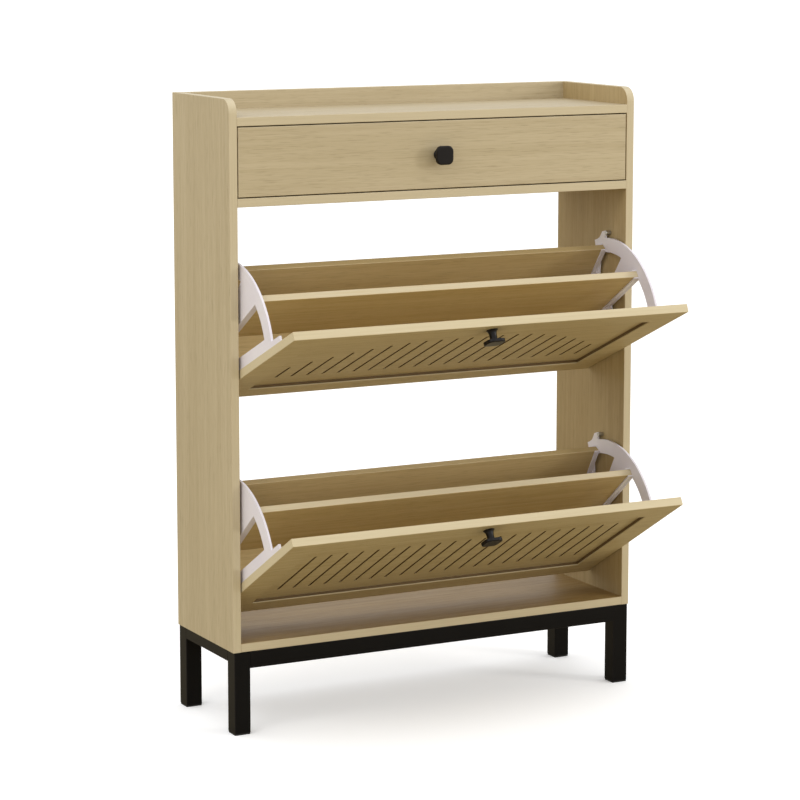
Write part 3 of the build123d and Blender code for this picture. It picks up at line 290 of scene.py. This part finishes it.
def oak_board(node, grain, light, dark, cut, group, milled=False, inner_shade=None):
    """Oak foil on one board, with the grain along a direction and its own stretch of pattern.

    A milled board has grooves in the face that looks down or to the front, with painted shade on their walls.
    The face that looks inward gets a darker, warmer copy of the foil as painted shade."""
    material, net, shader = new_material(f"{node}_oak")
    normal = main_normal(node)
    if milled and normal.y > 0:
        normal = -normal
    cross = normal.cross(grain).normalized()
    turn = Matrix((normal.cross(cross) * -1, cross, normal)).to_euler()
    middle = (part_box(node)[0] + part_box(node)[1]) / 2
    start = Vector((middle.z * 3.1 + middle.x, middle.y * 2.3 + middle.z, middle.x + middle.z * 1.7))
    coords = net.node("ShaderNodeTexCoord").outputs
    place = net.stretch(net.stretch(coords["Object"], (1, 1, 1), (0, 0, 0), turn), (1, 1, 1), start)
    facing = net.stretch(coords["Normal"], (1, 1, 1), (0, 0, 0), turn)
    inputs = {"Place": place, "Facing": facing, "Light": light, "Dark": dark, "Cut": cut}
    # painted shade: faces that look inward take the darker, warmer tones
    if inner_shade:
        inward, shaded_light_tone, shaded_dark_tone = inner_shade
        inner_shade_mask = net.remap(net.dot(coords["Normal"], inward), 0.4, 0.6)
        inputs["Light"] = net.mix(inner_shade_mask, light, shaded_light_tone)
        inputs["Dark"] = net.mix(inner_shade_mask, dark, shaded_dark_tone)
    if milled:
        inputs["Depth"] = milled_depth(net, coords["Object"], node, normal, cross)
    grained = net.node("ShaderNodeGroup", node_tree=group)
    for key, value in inputs.items():
        if isinstance(value, bpy.types.NodeSocket):
            net.tree.links.new(value, grained.inputs[key])
        else:
            grained.inputs[key].default_value = value
    wire(net, shader, Base_Color=grained.outputs["Color"], Roughness=grained.outputs["Roughness"],
         Normal=net.bump(grained.outputs["Height"], 0.35, PORE_DEPTH))
    shader.inputs["Specular IOR Level"].default_value = 0.35
    return material


# ---------------------------------------------------------------- metals and plastics
def speckled(name, color, other, rough_low, rough_high, grain, bump_depth, specular=0.5):
    """A coated or moulded surface: fine grain in its height, slow change in colour and gloss."""
    material, net, shader = new_material(name)
    place = net.node("ShaderNodeTexCoord").outputs["Object"]
    slow = net.noise(place, 14.0, 3.0)
    fine = net.noise(place, grain, 2.0, 0.6)
    wire(net, shader, Base_Color=net.mix(net.remap(slow, 0.35, 0.65), color, other),
         Roughness=net.remap(slow, 0.3, 0.7, rough_low, rough_high),
         Normal=net.bump(fine, 0.5, bump_depth))
    shader.inputs["Specular IOR Level"].default_value = specular
    return material


def powder_coat():
    """Fine-textured black powder coat, with a painted highlight and some wear on its corners."""
    material, net, shader = new_material("black_powder_coat")
    coords = net.node("ShaderNodeTexCoord").outputs
    slow = net.noise(coords["Object"], 11.0, 3.0)
    fine = net.noise(coords["Object"], 2600.0, 2.0, 0.6)
    parts = net.node("ShaderNodeSeparateXYZ", {0: coords["Normal"]}).outputs
    arris = net.remap(largest_part(net, parts), 0.97, 0.80)
    black = net.mix(net.remap(slow, 0.35, 0.65), srgb(6, 5, 6), srgb(9, 8, 9))
    # painted highlight, partly wear: corners are mixed up to halfway toward grey
    wire(net, shader, Base_Color=net.mix(net.math("MULTIPLY", arris, 0.5), black, srgb(48, 44, 45)),
         Roughness=net.remap(fine, 0.3, 0.7, 0.36, 0.46), Normal=net.bump(fine, 0.25, 0.02 * MM))
    shader.inputs["Specular IOR Level"].default_value = 0.15
    return material


def white_moulding():
    """White moulded plastic with a soft satin skin."""
    material = speckled("white_moulding", srgb(232, 228, 234), srgb(226, 221, 229), 0.34, 0.44,
                        900.0, 0.01 * MM)
    shader = material.node_tree.nodes["Principled BSDF"]
    shader.inputs["Subsurface Weight"].default_value = 0.15
    shader.inputs["Subsurface Radius"].default_value = (0.002, 0.002, 0.002)
    return material


def zinc_plate(name, grain):
    """Bright zinc plate, streaked by rolling."""
    material, net, shader = new_material(name)
    place = net.node("ShaderNodeTexCoord").outputs["Object"]
    streaks = net.noise(net.stretch(place, (grain, grain * 0.05, grain)), 1.0, 4.0, 0.6)
    blotches = net.noise(place, 60.0, 3.0)
    wire(net, shader,
         Base_Color=net.mix(net.remap(blotches, 0.35, 0.65), srgb(205, 206, 208), srgb(182, 184, 188)),
         Roughness=net.remap(streaks, 0.3, 0.7, 0.26, 0.42), Normal=net.bump(streaks, 0.3, 0.01 * MM))
    shader.inputs["Metallic"].default_value = 1.0
    return material


def hardboard():
    """Thin fibreboard: short fibres lying every way."""
    material, net, shader = new_material("hardboard")
    place = net.node("ShaderNodeTexCoord").outputs["Object"]
    fibres = net.noise(place, 420.0, 5.0, 0.7, 1.5)
    wire(net, shader,
         Base_Color=net.mix(net.remap(fibres, 0.3, 0.7), srgb(196, 178, 140), srgb(158, 136, 98)),
         Normal=net.bump(fibres, 0.3, 0.05 * MM), Roughness=net.remap(fibres, 0.3, 0.7, 0.6, 0.8))
    return material


def dress(names, material):
    """Give a material to CAD nodes."""
    for name in names:
        for place in nodes[name].material_slots:
            place.material = material


def dress_boards():
    """Every oak board gets its own cut of the foil."""
    group = oak_grain_group()
    front = (srgb(197, 182, 150), srgb(177, 161, 127), srgb(200, 186, 154))
    # painted warm bounce: the flaps' foil is the front's, made a little warmer for the light from below on
    # their down-facing faces
    flap_painted_bounce = (srgb(201, 184, 144), srgb(181, 162, 119), srgb(208, 194, 160))
    # painted bounce light: the bin boards are the same oak, given warmer, more saturated tones for the light
    # thrown around inside the bins
    bin_front_painted_bounce = (srgb(214, 190, 136), srgb(190, 163, 106), srgb(206, 192, 160))
    bin_back_painted_bounce = (srgb(204, 182, 134), srgb(180, 156, 106), srgb(178, 156, 110))
    outside = {"left_side_panel": UP, "right_side_panel": UP, "top_board": ACROSS, "drawer_shelf": ACROSS,
               "bottom_board": ACROSS, "back_rail": ACROSS, "drawer_front": ACROSS,
               "upper_flap_front": ACROSS, "lower_flap_front": ACROSS}
    # painted shade: darker, warmer copies of the same foil for the inner faces of the side panels, the
    # underside of the drawer shelf and the top of the bottom board
    side_inner_shade = (srgb(186, 165, 122), srgb(164, 141, 97))
    bottom_board_shade = (srgb(168, 140, 88), srgb(136, 108, 60))
    shaded_inner_faces = {"left_side_panel": (ACROSS, *side_inner_shade), "right_side_panel": (-ACROSS, *side_inner_shade),
                   "bottom_board": (UP, *bottom_board_shade), "drawer_shelf": (-UP, *side_inner_shade)}
    for name, grain in outside.items():
        milled = name.endswith("flap_front")
        colors = flap_painted_bounce if milled else front
        dress([name], oak_board(name, grain, *colors, group, milled, shaded_inner_faces.get(name)))
    inside = {"drawer_left_side": BACKWARD, "drawer_right_side": BACKWARD, "drawer_back": ACROSS}
    for name in BINS:
        for board in ("divider", "back_board", "front_floor", "rear_floor"):
            inside[f"{name}_{board}"] = ACROSS
    for name, grain in inside.items():
        colors = bin_back_painted_bounce if name.endswith("back_board") else bin_front_painted_bounce
        dress([name], oak_board(name, grain, *colors, group))


def dress_fittings():
    """Metal, plastic and plain wood fittings."""
    legs = [f"{end}_{side}_leg" for end in ("front", "back") for side in SIDES]
    rails = [f"{place}_rail" for place in ("left_side", "right_side", "front_base", "back_base")]
    dress(legs + rails, powder_coat())
    glide = speckled("black_glide", srgb(24, 24, 24), srgb(30, 30, 30), 0.5, 0.65, 700.0, 0.02 * MM)
    dress(["foot_glides"], glide)
    knob = speckled("black_knob_finish", srgb(12, 7, 8), srgb(16, 11, 12), 0.30, 0.38, 1800.0, 0.008 * MM,
                    specular=0.25)
    dress(["drawer_knob"] + [f"{name}_knob" for name in BINS], knob)
    brackets = [f"{name}_{side}_bracket" for name in BINS for side in SIDES]
    dress(brackets + ["pivot_sockets"], white_moulding())
    rolled = zinc_plate("rolled_zinc", 900.0)
    dress(["slide_cabinet_members", "slide_middle_members", "slide_drawer_members", "slide_outer_ball_strips",
           "slide_inner_ball_strips"], rolled)
    screws = ["base_screws", "base_bolts", "leg_nuts", "cam_locks", "cam_bolts", "stop_pegs",
              "slide_cabinet_screws", "slide_drawer_screws", "drawer_cam_bolts", "drawer_cams",
              "drawer_screws", "drawer_knob_screw"]
    screws += [f"{name}_{kind}" for name in BINS for kind in ("knob_screw", "bin_screws")]
    dress(screws, zinc_plate("zinc_fastener_finish", 1500.0))
    beech = speckled("beech_dowel_wood", srgb(214, 186, 142), srgb(198, 168, 122), 0.6, 0.75,
                     600.0, 0.03 * MM)
    dress(["dowels"], beech)
    dress(["drawer_bottom"], hardboard())


# ---------------------------------------------------------------- screws
def loose_parts(node):
    """The separate solids of a CAD node, each as an array of its corners."""
    merged = bmesh.new()
    merged.from_mesh(nodes[node].data)
    bmesh.ops.remove_doubles(merged, verts=merged.verts, dist=0.001 * MM)
    seen = set()
    for first in merged.verts:
        if first in seen:
            continue
        seen.add(first)
        group, queue = [], [first]
        while queue:
            corner = queue.pop()
            group.append(tuple(corner.co))
            for edge in corner.link_edges:
                other = edge.other_vert(corner)
                if other not in seen:
                    seen.add(other)
                    queue.append(other)
        yield numpy.array(group)
    merged.free()


def measure_screw(corners):
    """A turned screw's seat under its head, the way its head points, and its four sizes."""
    middle = corners.mean(axis=0)
    spread = (corners - middle).T @ (corners - middle)
    axis = numpy.linalg.eigh(spread)[1][:, -1]
    along = (corners - middle) @ axis
    across = numpy.linalg.norm(corners - middle - numpy.outer(along, axis), axis=1)
    if across[along < along.mean()].max() > across[along > along.mean()].max():
        axis, along = -axis, -along
    head_radius = across.max()
    seat = along[across > head_radius - 0.05 * MM].min()
    shank_radius = across[along < along.min() + 0.05 * MM].max()
    sizes = (shank_radius, seat - along.min(), head_radius, along.max() - seat)
    return middle + axis * seat, axis, tuple(round(float(size), 5) for size in sizes)


def screw_tree():
    """A pan-head screw, with a cross in its head and a pointed tip, at every point of a mesh."""
    tree = bpy.data.node_groups.new("pan_head_screws", "GeometryNodeTree")
    tree.interface.new_socket("Places", in_out="INPUT", socket_type="NodeSocketGeometry")
    for label in SCREW_SIZES:
        tree.interface.new_socket(label, in_out="INPUT", socket_type="NodeSocketFloat")
    tree.interface.new_socket("Finish", in_out="INPUT", socket_type="NodeSocketMaterial")
    tree.interface.new_socket("Screws", in_out="OUTPUT", socket_type="NodeSocketGeometry")
    net = Net(tree)
    size = net.node("NodeGroupInput").outputs
    leave = net.node("NodeGroupOutput")

    def vector(x=0.0, y=0.0, z=0.0):
        return net.node("ShaderNodeCombineXYZ", {"X": x, "Y": y, "Z": z}).outputs["Vector"]

    def moved(mesh, place, scale=(1.0, 1.0, 1.0)):
        inputs = {"Geometry": mesh, "Translation": place, "Scale": scale}
        return net.node("GeometryNodeTransform", inputs).outputs["Geometry"]

    def join(operation, *meshes):
        made = net.node("GeometryNodeMeshBoolean", operation=operation)
        for place, mesh in enumerate(meshes):
            first_kept = operation == "DIFFERENCE" and place == 0
            tree.links.new(mesh, made.inputs[0 if first_kept else 1])
        return made.outputs["Mesh"]

    # the head: a flattened ball, cut level above and below
    ball = net.node("GeometryNodeMeshUVSphere", {"Segments": 32, "Rings": 24, "Radius": 1.0}).outputs["Mesh"]
    dome = net.math("MULTIPLY", size["Head Height"], DOME_SHARE)
    ball = moved(ball, vector(), vector(size["Head Radius"], size["Head Radius"], dome))
    width = net.math("MULTIPLY", size["Head Radius"], 3.0)
    slab = net.node("GeometryNodeMeshCube", {"Size": vector(width, width, size["Head Height"])})
    slab = moved(slab.outputs["Mesh"], vector(z=net.math("MULTIPLY", size["Head Height"], 0.5)))
    head = join("INTERSECT", ball, slab)
    # the shank: a straight rod that narrows to its tip
    rod = net.node("GeometryNodeCurvePrimitiveLine", {
        "Start": vector(z=net.math("MULTIPLY", size["Shank Length"], -1.0)),
        "End": vector(z=net.math("MULTIPLY", size["Head Height"], 0.2))}).outputs["Curve"]
    rod = net.node("GeometryNodeResampleCurve", {"Curve": rod, "Count": 11}).outputs["Curve"]
    share = net.node("GeometryNodeSplineParameter").outputs["Factor"]
    taper = net.math("MULTIPLY", net.remap(share, 0.0, TIP_SHARE, TIP_SHARE, 1.0), size["Shank Radius"])
    ring = net.node("GeometryNodeCurvePrimitiveCircle", {"Resolution": 20, "Radius": 1.0}).outputs["Curve"]
    shank = net.node("GeometryNodeCurveToMesh", {"Curve": rod, "Profile Curve": ring, "Scale": taper,
                                                 "Fill Caps": True}).outputs["Mesh"]
    body = join("UNION", head, shank)
    # the cross
    depth = net.math("MULTIPLY", size["Head Height"], 1.2)
    arms = []
    for along_x, along_y in (("Cross Span", "Cross Width"), ("Cross Width", "Cross Span")):
        arm = net.node("GeometryNodeMeshCube", {"Size": vector(size[along_x], size[along_y], depth)})
        arms.append(moved(arm.outputs["Mesh"], vector(z=size["Head Height"])))
    screw = join("DIFFERENCE", body, *arms)
    way = net.node("GeometryNodeInputNamedAttribute", {"Name": "way"}, data_type="FLOAT_VECTOR")
    turned = net.node("FunctionNodeAlignRotationToVector", {"Vector": way.outputs["Attribute"]}, axis="Z")
    placed = net.node("GeometryNodeInstanceOnPoints", {
        "Points": size["Places"], "Instance": screw, "Rotation": turned.outputs["Rotation"]})
    real = net.node("GeometryNodeRealizeInstances", {"Geometry": placed.outputs["Instances"]})
    finished = net.node("GeometryNodeSetMaterial", {"Geometry": real.outputs["Geometry"],
                                                    "Material": size["Finish"]})
    tree.links.new(finished.outputs["Geometry"], leave.inputs["Screws"])
    return tree


def set_screws(node, name, body, tree, finish):
    """Screws with shaped heads in the place of a CAD node's plain ones, moving with a body."""
    rows = {}
    for corners in loose_parts(node):
        seat, way, sizes = measure_screw(corners)
        rows.setdefault(sizes, []).append((seat, way))
    gathered = bmesh.new()
    for sizes, places in rows.items():
        points = bpy.data.meshes.new(f"{name}_places")
        points.from_pydata([tuple(seat) for seat, _ in places], [], [])
        ways = points.attributes.new("way", "FLOAT_VECTOR", "POINT")
        ways.data.foreach_set("vector", [part for _, way in places for part in way])
        carrier = bpy.data.objects.new(f"{name}_places", points)
        bpy.context.collection.objects.link(carrier)
        modifier = carrier.modifiers.new("screws", "NODES")
        modifier.node_group = tree
        values = dict(zip(SCREW_SIZES, sizes + (sizes[2] * CROSS_SHARE, CROSS_WIDTH)), Finish=finish)
        for item in tree.interface.items_tree:
            if item.name in values:
                modifier[item.identifier] = values[item.name]
        evaluated = carrier.evaluated_get(bpy.context.evaluated_depsgraph_get())
        made = bpy.data.meshes.new_from_object(evaluated)
        gathered.from_mesh(made)
        bpy.data.objects.remove(carrier)
        bpy.data.meshes.remove(made)
    mesh = bpy.data.meshes.new(name)
    gathered.to_mesh(mesh)
    gathered.free()
    mesh.materials.append(finish)
    piece = bpy.data.objects.new(name, mesh)
    bpy.context.collection.objects.link(piece)
    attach(piece, body)
    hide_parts(node)


def set_all_screws():
    """Every screw of the cabinet."""
    tree = screw_tree()
    finish = bpy.data.materials["zinc_fastener_finish"]
    homes = {"base_screws": "cabinet", "slide_cabinet_screws": "cabinet", "slide_drawer_screws": "drawer",
             "drawer_screws": "drawer", "drawer_knob_screw": "drawer"}
    for name in BINS:
        homes[f"{name}_bin_screws"] = homes[f"{name}_knob_screw"] = f"{name}_flap"
    for node, body in homes.items():
        set_screws(node, f"{node}_cross_headed", body, tree, finish)


make_camera()
make_studio()
dress_boards()
dress_fittings()
set_all_screws()
